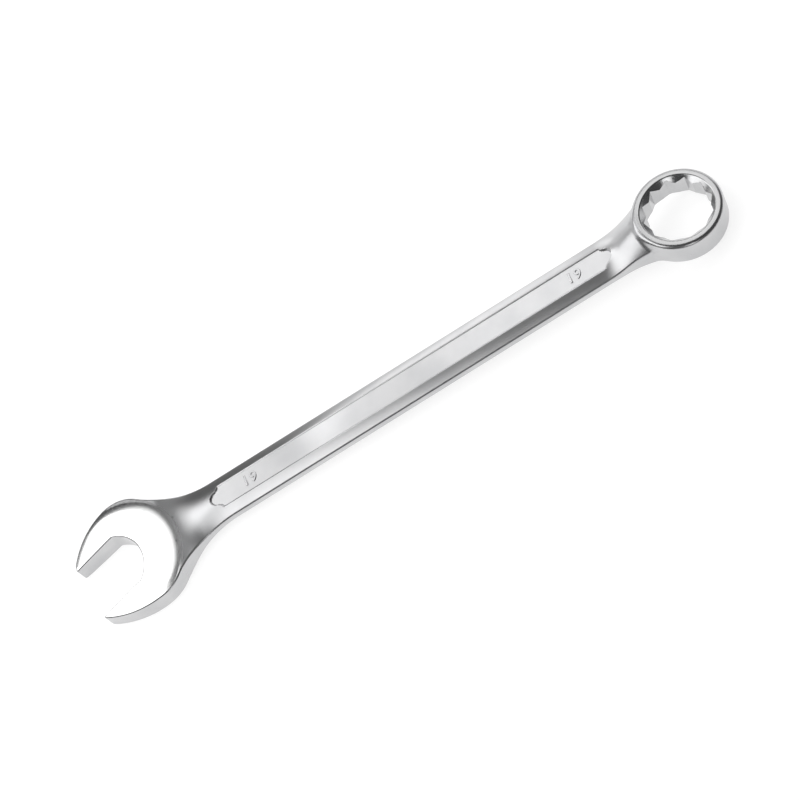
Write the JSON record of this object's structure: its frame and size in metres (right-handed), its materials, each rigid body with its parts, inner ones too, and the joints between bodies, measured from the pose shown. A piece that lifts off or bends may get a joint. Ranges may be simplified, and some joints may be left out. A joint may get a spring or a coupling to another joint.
{
  "type": "combination wrench",
  "caption": "Flat forged spanner with an angled open jaw at one end and a tilted twelve-point ring at the other, on a straight shank with sunken panels.",
  "frame": {"origin": "centre of the box end's socket, on the socket's axis and on the shank's mid-plane", "axes": "+X from the open end to the box end along the shank, +Z normal to the shank's face, +Y across the shank; the socket's axis leans 15 degrees from +Z towards +X"},
  "size_m": [0.231, 0.039, 0.0152],
  "materials": {
    "polished_chrome": "chrome plate over a polished forging",
    "satin_chrome": "satin chrome plate over a fine-blasted forging"
  },
  "bodies": {
    "root": {"open_end_head": "polished_chrome", "shank": "satin_chrome", "box_end_head": "polished_chrome"}
  },
  "joints": []
}
